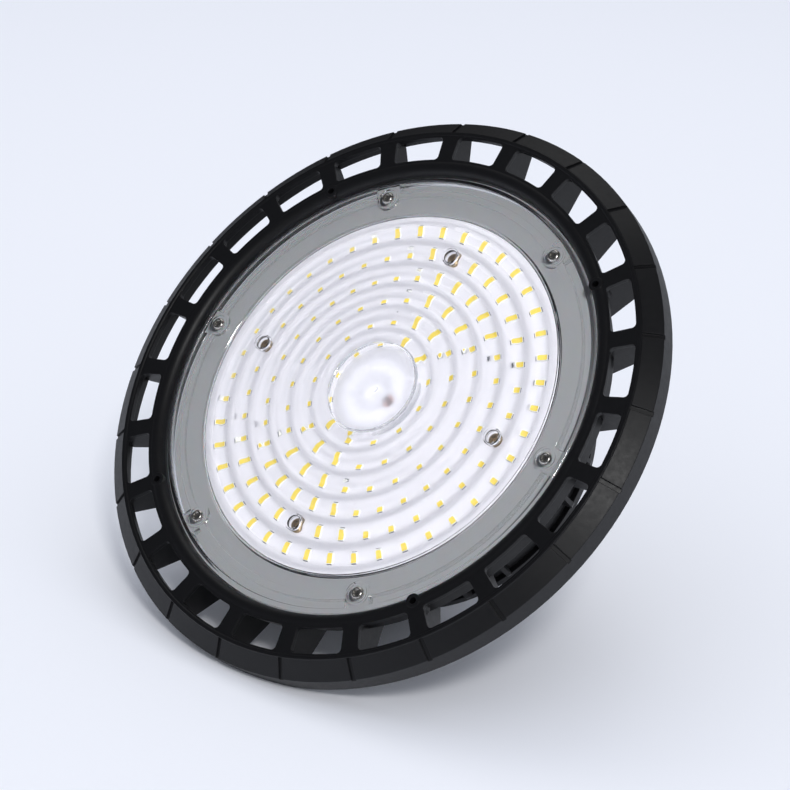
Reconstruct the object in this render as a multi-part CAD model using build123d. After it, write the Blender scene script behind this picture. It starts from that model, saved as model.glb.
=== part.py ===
from build123d import *
from math import atan2, cos, degrees, radians, sin, sqrt, tan
import os

# High bay light with a round die-cast heat sink, hung from an eye bolt.
# Millimetres. +Z is up as the light hangs, the lens faces -Z, and z = 0 is the front of the four
# reflector bosses, the light's lowest point.
# Angles run from +X towards +Y. Radii run from the axis of the light.

# Rim and slotted front ring, from the outside in
rim_diameter = 259.0
bevel_run = 7.5            # radial width of the bevel round the rim
bevel_drop = 5.1           # how far the bevel falls back
lip_height = 8.8           # straight band behind the bevel
lip_wall = 3.0
ridge_width = 1.3          # fine raised line between the ring's face and the bevel
ridge_height = 0.3
ridge_step = 0.5           # small step down from the ridge to the bevel
rim_flat = 1.1             # flat between the slots and the ridge
rim_section = 2.6          # thickness of the rim section round the slots
slot_length = 11.1         # radial length of a slot
slot_angle = 11.35
slot_corner = 1.9
ring_thickness = 2.0
slot_web = 3.9             # flat between the slots and the cup wall
cup_wall = 2.8
hump_height = 0.25         # soft bead on the inner edge of the ring
groove_width = 2.0         # radial grooves across the bevel
groove_depth = 0.8
groove_overrun = 0.8

# Fins and driver compartment
fin_count = 24
fin_thickness = 2.0
fin_slope = 0.39           # rise of the fins' back edge for each millimetre inwards
fin_stand = 0.0            # how far the fins stand behind the lip
fin_knee_radius = 16.0     # where a fin turns up along the compartment wall
rib_depth = 6.5            # how far a fin stands out from the compartment wall
rib_corner = 3.0
rib_below_top = 2.5
wall_radius = 70.0
wall_thickness = 3.5
wall_height = 54.3         # compartment depth behind the floor
floor_thickness = 4.0

# Lens
flange_below_ring = 2.8    # the flange lies this far behind the ring's face
flange_thickness = 4.4
lens_side_clearance = 0.4
lens_rim_width = 2.6       # outer bead of the flange
channel_width = 3.8
channel_depth = 3.2
land_width = 3.2           # flat between the channel and the step
land_step = 1.0
trough_depth = 1.1         # how far the line round the beads lies behind the step
led_gap = 0.9              # from the outer LEDs to the lens
crown = 2.6                # how far the lens bulges from the outer LED ring to the centre
bead_height = 1.4          # rise of each ring bead over the valleys between them
valley_thickness = 1.5
disc_rise = 0.5            # how far the centre disc stands in front of the innermost valley
gate_radius = 1.3
gate_height = 0.4
cap_radius = 3.8           # the four caps over the board screws
cap_proud = 0.1            # how far they stand in front of the beads
cap_wall = 1.4
cap_hollow_radius = 3.1

# Lens screws and gasket
lens_screw_inset = 8.15    # from the lens's edge to the screw circle
lens_screw_count = 6
screw_radius = 1.5
screw_length = 12.0
screw_head_radius = 2.85
screw_head_height = 1.65
screw_socket = 2.0
screw_proud = 1.0          # how far the screw heads stand in front of the flange
screw_hole_clearance = 0.2
thread_clearance = 0.05
counterbore_radius = 4.3
pad_radius = 5.6
screw_boss_radius = 4.6
tap_spare = 1.5
gasket_thickness = 1.2
gasket_side = 1.4          # from the lens's edge to the gasket
gasket_width = 15.0

# Board and LEDs
board_thickness = 1.6
board_proud = 1.2          # the board's face in front of the gasket seat
board_side_clearance = 0.5
board_margin = 7.9         # from the outer LED ring to the board's edge
foot_over_board = 1.2      # how far the line round the beads lies inside the board's edge
pad_thickness = 0.3
first_ring_radius = 23.0
led_length = 3.5
led_width = 2.8
led_height = 0.7
# LED rings from the outside in: places in the ring, angle of the first
led_counts = (42, 36, 32, 24, 18, 12)
led_first_angles = (7.69, 0.0, 5.6, 0.0, 0.0, 0.0)
post_angles = (30, 120, 210, 300)
board_screw_radius = 1.5
board_screw_head_radius = 2.75
board_screw_head_height = 1.6
board_screw_length = 5.0

# Reflector holes in the front ring
reflector_circle = 210.0
reflector_hole_radius = 1.5
reflector_hole_depth = 8.0
reflector_boss_radius = 3.0
reflector_boss_proud = 0.4
reflector_boss_length = 9.6
reflector_angles = (75, 165, 255, 345)

# Rear cover
cover_gasket_thickness = 1.0
cover_overhang = 2.0
cover_edge = 4.0           # height of the straight edge
cover_rise = 6.0           # how far the crown rises over the edge
cover_thickness = 4.0
cover_flat_radius = 30.0
cover_edge_chamfer = 1.2
cover_screw_radius = 2.0
cover_screw_length = 16.0
cover_screw_head_radius = 3.8
cover_screw_head_height = 2.2
cover_screw_socket = 2.5
cover_screw_inset = 9.0    # from the compartment's outer wall to the screw circle
cover_screw_count = 6
cover_screw_angle = 30.0
cover_pocket_radius = 4.8
cover_pocket_depth = 0.4   # pocket floor below the cover's straight edge
cover_screw_boss_radius = 5.2

# Eye bolt
eye_boss_radius = 13.0
eye_boss_height = 5.0
eye_boss_inner = 8.0       # how far the boss reaches into the compartment
eye_shank_radius = 5.0
eye_shank_engagement = 12.0
eye_nut_across = 16.0
eye_nut_height = 6.0
eye_collar_radius = 8.0
eye_collar_height = 3.0
eye_inner_radius = 11.0
eye_wire_radius = 4.0

# Cable gland and breather plug on the cover
fitting_inset = 28.0       # from the compartment's outer wall to the fittings' centres
fitting_boss_height = 2.0
fitting_seat_drop = 1.0    # underside of the fittings' bosses below the straight edge's top
gland_boss_radius = 13.5
gland_thread_radius = 8.0
gland_thread_length = 15.0
gland_hex_across = 21.0
gland_hex_height = 6.0
gland_neck_radius = 7.4
gland_neck_height = 5.0
gland_nut_radius = 10.5
gland_nut_height = 15.0
gland_nut_top_radius = 7.0
gland_wall = 2.0
gland_cable_radius = 3.75
gland_lock_across = 22.0
gland_lock_height = 4.5
fit_clearance = 0.05
breather_boss_radius = 11.0
breather_thread_radius = 6.0
breather_thread_length = 11.0
breather_cap_radius = 8.5
breather_cap_height = 5.5
breather_vent_radius = 0.8
breather_seal_thickness = 1.0

# Driver in the compartment
insulator_thickness = 0.5
driver_clearance = 0.8     # from the driver board's edge to the cover screw bosses
driver_board_thickness = 1.6
driver_board_stand = 11.7  # board above the floor
driver_post_inset = 5.0    # from the driver board's edge to the posts' centres
driver_post_radius = 3.0
driver_post_angles = (60, 150, 240, 330)
driver_screw_radius = 1.5
driver_screw_length = 6.0
driver_screw_head_radius = 2.75
driver_screw_head_height = 1.8
lead_circle = 8.0
lead_angle = 45.0
lead_radius = 0.9
lead_spacing = 3.4
lead_proud = 0.4
grommet_radius = 4.0
grommet_flange = 1.2
grommet_lip = 1.0

# Driver components: their sizes, and their places as shares of the driver board's radius
transformer_width = 30.0
transformer_depth = 24.0
transformer_height = 22.0
transformer_flange = 7.0   # core on each side of the winding
transformer_yoke = 6.0     # core over and under the winding
transformer_place = (0.0, -0.40)
choke_height = 10.0
choke_radius = 11.0
choke_hole_radius = 3.5
choke_edge = 2.2
choke_place = (-0.47, 0.22)
capacitor_radius = 8.0
capacitor_height = 26.0
small_capacitor_radius = 6.3
small_capacitor_height = 20.0
capacitor_edge = 0.8
capacitor_places = ((0.40, 0.33), (0.65, -0.07))
small_capacitor_place = (0.07, 0.54)
spreader_thickness = 3.0
spreader_length = 30.0
spreader_height = 18.0
spreader_place = (-0.73, -0.25)
transistor_thickness = 4.4
transistor_width = 10.0
transistor_height = 16.0
transistor_spacing = 16.0
transistor_rise = 2.0
terminal_width = 10.0
terminal_length = 21.0
terminal_height = 12.0
terminal_place = (-0.27, 0.68)
pole_spacing = 6.5
pole_screw_radius = 1.9
pole_slot_width = 4.0
pole_slot_height = 5.0

# Worked out: radii from the rim inwards
rim_radius = rim_diameter / 2
bevel_start = rim_radius - bevel_run
ridge_start = bevel_start - ridge_width
slot_outer = ridge_start - rim_flat
slot_inner = slot_outer - slot_length
cup_outer = slot_inner - slot_web
seat_radius = cup_outer - cup_wall
lens_radius = seat_radius - lens_side_clearance
screw_circle = lens_radius - lens_screw_inset
channel_outer = lens_radius - lens_rim_width
channel_inner = channel_outer - channel_width
land_inner = channel_inner - land_width
gasket_outer = lens_radius - gasket_side
gasket_inner = gasket_outer - gasket_width
board_radius = gasket_inner - 2 * board_side_clearance
pocket_radius = board_radius + board_side_clearance
outer_ring_radius = board_radius - board_margin
ring_pitch = (outer_ring_radius - first_ring_radius) / (len(led_counts) - 1)
lens_foot = board_radius - foot_over_board
bead_edge = outer_ring_radius + ring_pitch / 2
disc_radius = first_ring_radius - ring_pitch / 2

# Worked out: heights from the reflector bosses backwards
ring_face_z = reflector_boss_proud
flange_z = ring_face_z + flange_below_ring
screw_seat_z = flange_z - screw_proud + screw_head_height
flange_back = flange_z + flange_thickness
seat_z = flange_back + gasket_thickness
board_face = seat_z - board_proud
board_back = board_face + board_thickness
pocket_z = board_back + pad_thickness
floor_back = pocket_z + floor_thickness
ring_back = ring_face_z + ring_thickness
ridge_z = ring_face_z - ridge_height
bevel_z = ridge_z + ridge_step
bevel_end_z = bevel_z + bevel_drop
lip_back = bevel_end_z + lip_height
lip_inner = rim_radius - lip_wall
fin_end_z = lip_back + fin_stand
wall_top = floor_back + wall_height
cover_z = wall_top + cover_gasket_thickness
cover_edge_z = cover_z + cover_edge
cover_top = cover_edge_z + cover_rise
fitting_top = cover_top + fitting_boss_height
driver_board_z = floor_back + driver_board_stand
driver_top = driver_board_z + driver_board_thickness
cover_circle = wall_radius - cover_screw_inset
fitting_circle = wall_radius - fitting_inset
driver_board_radius = cover_circle - cover_screw_boss_radius - driver_clearance
driver_post_circle = driver_board_radius - driver_post_inset
fitting_seat_z = cover_edge_z - fitting_seat_drop
fin_angles = [360 / fin_count * k for k in range(fin_count)]
slot_angles = [360 / fin_count * (k + 0.5) for k in range(fin_count)]
lens_screw_angles = [30 + 360 / lens_screw_count * k for k in range(lens_screw_count)]
cover_screw_angles = [cover_screw_angle + 360 / cover_screw_count * k for k in range(cover_screw_count)]


def at(radius, z):
    """A point of a turned profile, in the XZ plane."""
    return (radius, 0, z)


def outline(*points):
    """Straight edges through points of a profile, left open."""
    return [Line(a, b) for a, b in zip(points, points[1:])]


def turned(*edges):
    """A solid of revolution from the edges of a closed profile."""
    return revolve(make_face(Wire(edges)), Axis.Z)


def turned_polygon(*points):
    """A solid of revolution from the corners of a closed profile."""
    return turned(*outline(*points, points[0]))


def disc(radius, low, high):
    """A cylinder round the axis between two heights."""
    return Pos(0, 0, (low + high) / 2) * Cylinder(radius, high - low)


def tube(outer, inner, low, high):
    """A ring round the axis between two heights."""
    return disc(outer, low, high) - disc(inner, low, high)


def hexagon(across, low, high):
    """A hexagonal bar round the axis, by its width across flats."""
    return extrude(Pos(0, 0, low) * RegularPolygon(across / 2, 6, major_radius=False), high - low)


def placed(shape, radius, angle):
    """A shape moved out to a radius and turned to an angle."""
    return Rot(0, 0, angle) * Pos(radius, 0, 0) * shape


def spread(shape, radius, angles):
    """Copies of a shape on a circle."""
    return [placed(shape, radius, angle) for angle in angles]


def socket_screw(radius, length, head_radius, head_height, socket, seat, down):
    """A button head screw on the axis, its head's underside at a height, its shank down or up from there."""
    way = -1 if down else 1
    crown = head_radius * 0.62
    head = turned(
        Line(at(0, seat), at(head_radius, seat)),
        Line(at(head_radius, seat), at(head_radius, seat - way * head_height * 0.3)),
        Line(at(head_radius, seat - way * head_height * 0.3), at(crown, seat - way * head_height)),
        Line(at(crown, seat - way * head_height), at(0, seat - way * head_height)),
        Line(at(0, seat - way * head_height), at(0, seat)),
    )
    shank_end = seat + way * length
    shank = disc(radius, min(seat, shank_end), max(seat, shank_end))
    recess_start = seat - way * head_height
    recess_end = seat - way * head_height * 0.4
    recess = hexagon(socket, min(recess_start, recess_end), max(recess_start, recess_end))
    return head + shank - recess


def ring_casting():
    """The turned form of the casting: rim, slotted ring, lens seat, board pocket, floor and compartment wall."""
    hump_outer = slot_inner - slot_web * 0.3
    hump_crest = cup_outer + slot_web * 0.1
    seat_mouth = flange_z
    front = outline(
        at(0, pocket_z), at(pocket_radius, pocket_z), at(pocket_radius, seat_z),
        at(seat_radius, seat_z), at(seat_radius, seat_mouth),
    )
    front.append(Line(at(seat_radius, seat_mouth), at(seat_radius + 0.5, seat_mouth - 1.2)))
    front.append(ThreePointArc(
        at(seat_radius + 0.5, seat_mouth - 1.2),
        at(hump_crest, ring_face_z - hump_height),
        at(hump_outer, ring_face_z),
    ))
    rim = outline(
        at(hump_outer, ring_face_z), at(ridge_start - 0.4, ring_face_z), at(ridge_start, ridge_z),
        at(bevel_start, ridge_z), at(bevel_start + 0.2, bevel_z), at(rim_radius, bevel_end_z),
        at(rim_radius, lip_back), at(lip_inner, lip_back),
        at(lip_inner, bevel_end_z + 0.8), at(bevel_start + 0.6, bevel_z + rim_section - 0.3),
        at(slot_outer - 1.2, ring_face_z + rim_section), at(slot_outer - 1.2, ring_back),
        at(cup_outer, ring_back), at(cup_outer, floor_back), at(wall_radius, floor_back),
        at(wall_radius, wall_top), at(wall_radius - wall_thickness, wall_top),
        at(wall_radius - wall_thickness, floor_back), at(0, floor_back), at(0, pocket_z),
    )
    return turned(*front, *rim)


def slot_cutter():
    """One slot between two fins: radial sides, arc ends and round corners."""
    half = slot_angle / 2
    corners = [(r, a) for r in (slot_inner, slot_outer) for a in (-half, half)]
    points = [Vector(r * cos(radians(a)), r * sin(radians(a)), 0) for r, a in corners]
    face = make_face(Wire([
        ThreePointArc(points[0], Vector(slot_inner, 0, 0), points[1]),
        Line(points[1], points[3]),
        ThreePointArc(points[3], Vector(slot_outer, 0, 0), points[2]),
        Line(points[2], points[0]),
    ]))
    face = fillet(face.vertices(), slot_corner)
    return Pos(0, 0, ring_face_z - 2) * extrude(face, rim_section + 4)


def fin():
    """One radial fin: under the bar, out to the lip, and up the compartment wall as a rib."""
    overlap = 0.6
    rib = wall_radius + rib_depth
    rib_top = wall_top - rib_below_top
    end_z = fin_end_z
    foot_z = min(lip_back, end_z) - overlap
    turn = radians(90) - atan2(fin_slope, 1)
    run_in = fin_knee_radius * tan(turn / 2)
    knee = (rib, end_z + fin_slope * (lip_inner - rib))
    slope_length = sqrt(1 + fin_slope ** 2)
    on_slope = (knee[0] + run_in / slope_length, knee[1] - run_in * fin_slope / slope_length)
    on_rib = (rib, knee[1] + run_in)
    centre = (rib + fin_knee_radius, on_rib[1])
    middle_angle = radians(180) + turn / 2
    middle = (centre[0] + fin_knee_radius * cos(middle_angle), centre[1] + fin_knee_radius * sin(middle_angle))
    corner_centre = (rib - rib_corner, rib_top - rib_corner)
    corner_middle = (corner_centre[0] + rib_corner * cos(radians(45)),
                     corner_centre[1] + rib_corner * sin(radians(45)))
    edges = outline(
        at(wall_radius - overlap, floor_back - overlap), at(cup_outer - overlap, floor_back - overlap),
        at(cup_outer - overlap, ring_back - overlap), at(slot_outer, ring_back - overlap),
        at(bevel_start + overlap, ring_face_z + rim_section - overlap),
        at(lip_inner + overlap, bevel_end_z + 1.0 + overlap), at(lip_inner + overlap, foot_z),
        at(lip_inner, foot_z), at(lip_inner - overlap, end_z + overlap * fin_slope), at(*on_slope),
    )
    edges.append(ThreePointArc(at(*on_slope), at(*middle), at(*on_rib)))
    edges.append(Line(at(*on_rib), at(rib, rib_top - rib_corner)))
    edges.append(ThreePointArc(at(rib, rib_top - rib_corner), at(*corner_middle), at(rib - rib_corner, rib_top)))
    edges += outline(at(rib - rib_corner, rib_top), at(wall_radius - overlap, rib_top),
                     at(wall_radius - overlap, floor_back - overlap))
    return extrude(make_face(Wire(edges)), fin_thickness / 2, both=True)


def groove_cutter():
    """One radial groove across the bevel, running out through the edge of the lip."""
    slope = atan2(bevel_drop, bevel_run)
    along = (cos(slope), sin(slope))
    into = (-sin(slope), cos(slope))
    length = sqrt(bevel_run ** 2 + bevel_drop ** 2) + groove_overrun
    low = (bevel_start + into[0] * groove_depth, bevel_z + into[1] * groove_depth)
    high = (low[0] + along[0] * length, low[1] + along[1] * length)
    clear = 4.0
    face = make_face(Wire(outline(
        at(*low), at(*high), at(high[0] - into[0] * clear, high[1] - into[1] * clear),
        at(low[0] - into[0] * clear, low[1] - into[1] * clear), at(*low),
    )))
    return extrude(face, groove_width / 2, both=True)


def casting_blank():
    """The casting without its fins, before drilling: slotted ring, seat, floor and compartment with its bosses."""
    body = ring_casting()
    body = body.cut(*spread(slot_cutter(), 0, slot_angles))
    body = body.cut(*spread(groove_cutter(), 0, fin_angles))

    reflector_front = ring_face_z - reflector_boss_proud
    reflector_boss = disc(reflector_boss_radius, reflector_front, reflector_front + reflector_boss_length)
    lens_boss_top = screw_seat_z + screw_length + tap_spare + 1.0
    lens_boss = disc(screw_boss_radius, floor_back - 1, max(lens_boss_top, floor_back + 1))
    cover_boss = disc(cover_screw_boss_radius, floor_back - 1, wall_top)
    return body.fuse(
        *spread(reflector_boss, reflector_circle / 2, reflector_angles),
        *spread(lens_boss, screw_circle, lens_screw_angles),
        *spread(cover_boss, cover_circle, cover_screw_angles),
    )


def heat_sink(blank):
    """The casting with its tapped holes and the hole for the leads."""
    reflector_front = ring_face_z - reflector_boss_proud
    reflector_hole = disc(reflector_hole_radius, reflector_front - 1, reflector_front + reflector_hole_depth)
    lens_tap = disc(screw_radius + thread_clearance, seat_z - 1, screw_seat_z + screw_length + tap_spare)
    cover_tap = disc(cover_screw_radius + thread_clearance, wall_top - cover_screw_length, wall_top + 1)
    board_tap = disc(board_screw_radius + thread_clearance, pocket_z - 1, board_face + board_screw_length + 0.6)
    driver_tap = disc(driver_screw_radius + thread_clearance, floor_back - 2.5, floor_back + 1)
    lead_hole = disc(grommet_radius, pocket_z - 1, floor_back + 1)
    return blank.cut(
        *spread(reflector_hole, reflector_circle / 2, reflector_angles),
        *spread(lens_tap, screw_circle, lens_screw_angles),
        *spread(cover_tap, cover_circle, cover_screw_angles),
        *spread(board_tap, outer_ring_radius - ring_pitch, post_angles),
        *spread(driver_tap, driver_post_circle, driver_post_angles),
        placed(lead_hole, lead_circle, lead_angle),
    )


def cooling_fins(blank):
    """The fins of the same casting, each ending on its faces; apart, they leave the bays between them open."""
    single = fin()
    return Compound(children=[placed(single, 0, angle).cut(blank) for angle in fin_angles])


def lens_back_z(radius):
    """Height of the lens's crowned back over the LEDs."""
    return board_face - led_height - led_gap - crown * (1 - (radius / outer_ring_radius) ** 2)


def valley_z(radius):
    """Height of the lens's front in the valleys between the beads."""
    return lens_back_z(radius) - valley_thickness


def beads():
    """The six ring beads of the lens's front, from the outside in."""
    arcs = []
    for k in range(len(led_counts)):
        middle = outer_ring_radius - ring_pitch * k
        outer, inner = middle + ring_pitch / 2, middle - ring_pitch / 2
        arcs.append(ThreePointArc(
            at(outer, valley_z(outer)), at(middle, valley_z(middle) - bead_height), at(inner, valley_z(inner))
        ))
    return arcs


def lens():
    """The clear lens: flange with its channel, crowned front with ring beads, centre disc, pads and caps."""
    shoulder_z = flange_z + land_step
    trough_z = shoulder_z + trough_depth
    disc_z = valley_z(disc_radius) - disc_rise
    front = outline(
        at(bead_edge, valley_z(bead_edge)), at(lens_foot, trough_z), at(lens_foot + 1.2, trough_z),
        at(land_inner - 0.4, shoulder_z), at(land_inner, flange_z),
        at(channel_inner, flange_z), at(channel_inner, flange_z + channel_depth),
        at(channel_outer, flange_z + channel_depth), at(channel_outer, flange_z + 0.3),
        at(channel_outer + 0.4, flange_z), at(lens_radius - 0.6, flange_z), at(lens_radius, flange_z + 0.6),
        at(lens_radius, flange_back), at(gasket_inner + 0.2, flange_back), at(bead_edge, lens_back_z(bead_edge)),
    )
    back = ThreePointArc(at(bead_edge, lens_back_z(bead_edge)), at(bead_edge / 2, lens_back_z(bead_edge / 2)),
                         at(0, lens_back_z(0)))
    centre = outline(
        at(0, lens_back_z(0)), at(0, disc_z - gate_height), at(gate_radius, disc_z - gate_height),
        at(gate_radius, disc_z), at(disc_radius - 1.0, disc_z), at(disc_radius, valley_z(disc_radius)),
    )
    body = turned(*front, back, *centre, *beads())

    pad_width = 2 * pad_radius
    pad_block = Pos((channel_outer + channel_inner) / 2 - screw_circle, 0, flange_z + channel_depth / 2) * Box(
        channel_width + 0.8, pad_width, channel_depth
    )
    pad_round = disc(pad_radius, flange_z, flange_back - 0.4)
    cap_circle = outer_ring_radius - ring_pitch
    cap_front = valley_z(cap_circle) - bead_height - cap_proud
    cap = disc(cap_radius, cap_front, lens_back_z(cap_circle) - 0.3)
    body = body.fuse(
        *spread(pad_block, screw_circle, lens_screw_angles),
        *spread(pad_round, screw_circle, lens_screw_angles),
        *spread(cap, cap_circle, post_angles),
    )
    hollow = disc(cap_hollow_radius, cap_front + cap_wall, board_face)
    counterbore = disc(counterbore_radius, flange_z - 1, screw_seat_z)
    hole = disc(screw_radius + screw_hole_clearance, flange_z - 1, flange_back + 1)
    return body.cut(
        *spread(counterbore, screw_circle, lens_screw_angles),
        *spread(hole, screw_circle, lens_screw_angles),
        *spread(hollow, cap_circle, post_angles),
    )


def lens_gasket():
    """Flat silicone ring with holes for the lens screws."""
    hole = disc(screw_radius + screw_hole_clearance, flange_back - 1, seat_z + 1)
    return tube(gasket_outer, gasket_inner, flange_back, seat_z).cut(
        *spread(hole, screw_circle, lens_screw_angles)
    )


def board_holes(low, high):
    """Cutters for the board screws and the leads through the board and the pad."""
    screw_hole = disc(board_screw_radius + screw_hole_clearance, low - 1, high + 1)
    lead_hole = disc(grommet_radius - grommet_lip, low - 1, high + 1)
    return [*spread(screw_hole, outer_ring_radius - ring_pitch, post_angles),
            placed(lead_hole, lead_circle, lead_angle)]


def led_board():
    """Round circuit board."""
    return disc(board_radius, board_face, board_back).cut(*board_holes(board_face, board_back))


def thermal_pad():
    """Heat conducting sheet behind the board."""
    return disc(board_radius, board_back, pocket_z).cut(*board_holes(board_back, pocket_z))


def leds(k):
    """One ring of LED packages, long side along the radius."""
    count, first = led_counts[k], led_first_angles[k]
    package = Pos(0, 0, board_face - led_height / 2) * Box(led_length, led_width, led_height)
    angles = [first + 360 / count * i for i in range(count)]
    if k == 1:
        angles = [a for a in angles if a not in post_angles]
    return Compound(children=spread(package, outer_ring_radius - ring_pitch * k, angles))


def pan_screw(radius, length, head_radius, head_height, seat, way):
    """A pan head screw on the axis with a cross slot, its shank along way (1 up, -1 down)."""
    head = disc(head_radius, min(seat, seat - way * head_height), max(seat, seat - way * head_height))
    top_edges = head.edges().sort_by(Axis.Z)
    head = chamfer(top_edges[0] if way > 0 else top_edges[-1], head_height * 0.35)
    shank = disc(radius, min(seat, seat + way * length), max(seat, seat + way * length))
    slot_z = seat - way * head_height
    slot = Pos(0, 0, slot_z) * (Box(head_radius * 1.1, 0.7, head_height) + Box(0.7, head_radius * 1.1, head_height))
    return head + shank - slot


def rear_cover():
    """Lid of the driver compartment: crowned shell with eye boss, fitting bosses and screw pockets."""
    radius = wall_radius + cover_overhang
    boss_top = cover_top + eye_boss_height
    inner_radius = wall_radius - wall_thickness - 0.6
    inner_top = cover_top - cover_thickness
    inner_edge = cover_edge_z - 1.0
    body = turned_polygon(
        at(0, boss_top), at(eye_boss_radius - 1, boss_top), at(eye_boss_radius, boss_top - 1),
        at(eye_boss_radius + 1.5, cover_top), at(cover_flat_radius, cover_top),
        at(radius - cover_edge_chamfer, cover_edge_z + 0.6), at(radius, cover_edge_z - 0.6),
        at(radius, cover_z), at(inner_radius, cover_z), at(inner_radius, inner_edge - 1),
        at(cover_flat_radius, inner_top), at(eye_boss_radius - 2, inner_top),
        at(eye_boss_radius - 2, cover_top - eye_boss_inner), at(0, cover_top - eye_boss_inner),
    )
    gland_boss = disc(gland_boss_radius, fitting_seat_z, fitting_top)
    breather_boss = disc(breather_boss_radius, fitting_seat_z, fitting_top)
    pocket_floor = cover_edge_z - cover_pocket_depth
    screw_boss = disc(cover_screw_boss_radius, cover_z, cover_edge_z - 0.5)
    body = body.fuse(
        placed(gland_boss, fitting_circle, 180), placed(breather_boss, fitting_circle, 0),
        *spread(screw_boss, cover_circle, cover_screw_angles),
    )
    pocket = disc(cover_pocket_radius, pocket_floor, cover_top + 1)
    hole = disc(cover_screw_radius + screw_hole_clearance, cover_z - 1, cover_top)
    eye_hole = disc(eye_shank_radius + thread_clearance, boss_top - eye_shank_engagement, boss_top + 1)
    gland_hole = disc(gland_thread_radius + thread_clearance, cover_z, fitting_top + 1)
    breather_hole = disc(breather_thread_radius + thread_clearance, cover_z, fitting_top + 1)
    return body.cut(
        *spread(pocket, cover_circle, cover_screw_angles),
        *spread(hole, cover_circle, cover_screw_angles),
        eye_hole,
        placed(gland_hole, fitting_circle, 180),
        placed(breather_hole, fitting_circle, 0),
    )


def cover_gasket():
    """Flat silicone ring on the compartment wall, with eyes round the cover screws."""
    low, high = wall_top, cover_z
    circle = cover_circle
    body = tube(wall_radius - 0.4, wall_radius - wall_thickness, low, high).fuse(
        *spread(disc(cover_screw_boss_radius - 0.4, low, high), circle, cover_screw_angles)
    )
    hole = disc(cover_screw_radius + screw_hole_clearance, low - 1, high + 1)
    return body.cut(*spread(hole, circle, cover_screw_angles))


def hanging_eye():
    """Forged eye on a collar and a threaded shank."""
    boss_top = cover_top + eye_boss_height
    nut_top = boss_top + eye_nut_height
    ring_radius = eye_inner_radius + eye_wire_radius
    ring_z = nut_top + eye_collar_height + ring_radius + eye_wire_radius * 0.6
    ring = Pos(0, 0, ring_z) * Rot(90, 0, 0) * Torus(ring_radius, eye_wire_radius)
    neck = turned_polygon(
        at(0, nut_top), at(eye_collar_radius, nut_top), at(eye_collar_radius, nut_top + eye_collar_height),
        at(eye_wire_radius, nut_top + eye_collar_height + 3.0),
        at(eye_wire_radius * 0.8, ring_z - ring_radius), at(0, ring_z - ring_radius),
    )
    shank_end = boss_top - eye_shank_engagement + 1.0
    shank = disc(eye_shank_radius, shank_end, nut_top)
    return ring + neck + shank


def eye_nut():
    """Hexagon nut that locks the eye bolt on the cover."""
    low = cover_top + eye_boss_height
    high = low + eye_nut_height
    return hexagon(eye_nut_across, low, high) - disc(eye_shank_radius + thread_clearance, low - 1, high + 1)


def gland_body():
    """Cable gland body: thread through the cover, hexagon and neck, hollow for the cable and the seal."""
    low = fitting_top
    hex_top = low + gland_hex_height
    neck_top = hex_top + gland_neck_height
    body = disc(gland_thread_radius, low - gland_thread_length, low)
    body += hexagon(gland_hex_across, low, hex_top)
    body += disc(gland_neck_radius, hex_top, neck_top)
    body -= disc(gland_cable_radius + gland_wall / 2, low - gland_thread_length - 1, hex_top)
    body -= disc(gland_neck_radius - gland_wall, hex_top - 1.0, neck_top + 1)
    return placed(body, fitting_circle, 180)


def gland_seal():
    """Rubber seal inside the gland, with the bore that grips the cable."""
    low = fitting_top + gland_hex_height - 1.0
    high = fitting_top + gland_hex_height + gland_nut_height - gland_wall
    body = disc(gland_neck_radius - gland_wall - fit_clearance, low, high)
    body -= disc(gland_cable_radius, low - 1, high + 1)
    return placed(body, fitting_circle, 180)


def gland_nut():
    """Domed gland nut with twelve grip flutes."""
    low = fitting_top + gland_hex_height
    high = low + gland_nut_height
    shoulder = high - gland_nut_height * 0.4
    body = turned_polygon(
        at(0, low), at(gland_nut_radius, low), at(gland_nut_radius, shoulder),
        at(gland_nut_top_radius + 0.8, high), at(0, high),
    )
    flute = disc(1.0, low + 1.5, shoulder + 4)
    body = body.cut(*spread(flute, gland_nut_radius + 0.4, [30 * k for k in range(12)]))
    neck_top = low + gland_neck_height
    body -= disc(gland_neck_radius + fit_clearance, low - 1, neck_top)
    body -= disc(gland_neck_radius - gland_wall, neck_top - 0.5, high - gland_wall)
    body -= disc(gland_cable_radius + 0.6, high - gland_wall - 1, high + 1)
    return placed(body, fitting_circle, 180)


def gland_lock_nut():
    """Nut that holds the gland inside the cover."""
    high = fitting_seat_z
    low = high - gland_lock_height
    body = hexagon(gland_lock_across, low, high) - disc(gland_thread_radius + thread_clearance, low - 1, high + 1)
    return placed(body, fitting_circle, 180)


def breather_seal():
    """Rubber ring under the breather plug's cap."""
    body = tube(breather_cap_radius - 0.6, breather_thread_radius + fit_clearance,
                fitting_top, fitting_top + breather_seal_thickness)
    return placed(body, fitting_circle, 0)


def breather_plug():
    """Pressure equalising plug: threaded stem, round cap with side vents."""
    low = fitting_top + breather_seal_thickness
    high = low + breather_cap_height
    body = disc(breather_thread_radius, fitting_top - breather_thread_length, low)
    cap = turned_polygon(
        at(0, low), at(breather_cap_radius, low), at(breather_cap_radius, high - 1.2),
        at(breather_cap_radius - 1.2, high), at(0, high),
    )
    bore = disc(breather_thread_radius - 3, fitting_top - breather_thread_length - 1, low + 2)
    vent = Pos(breather_cap_radius, 0, low + 2.4) * Rot(0, 90, 0) * Cylinder(breather_vent_radius, breather_cap_radius)
    body = (body + cap - bore).cut(*spread(vent, 0, [60 * k for k in range(6)]))
    return placed(body, fitting_circle, 0)


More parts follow.
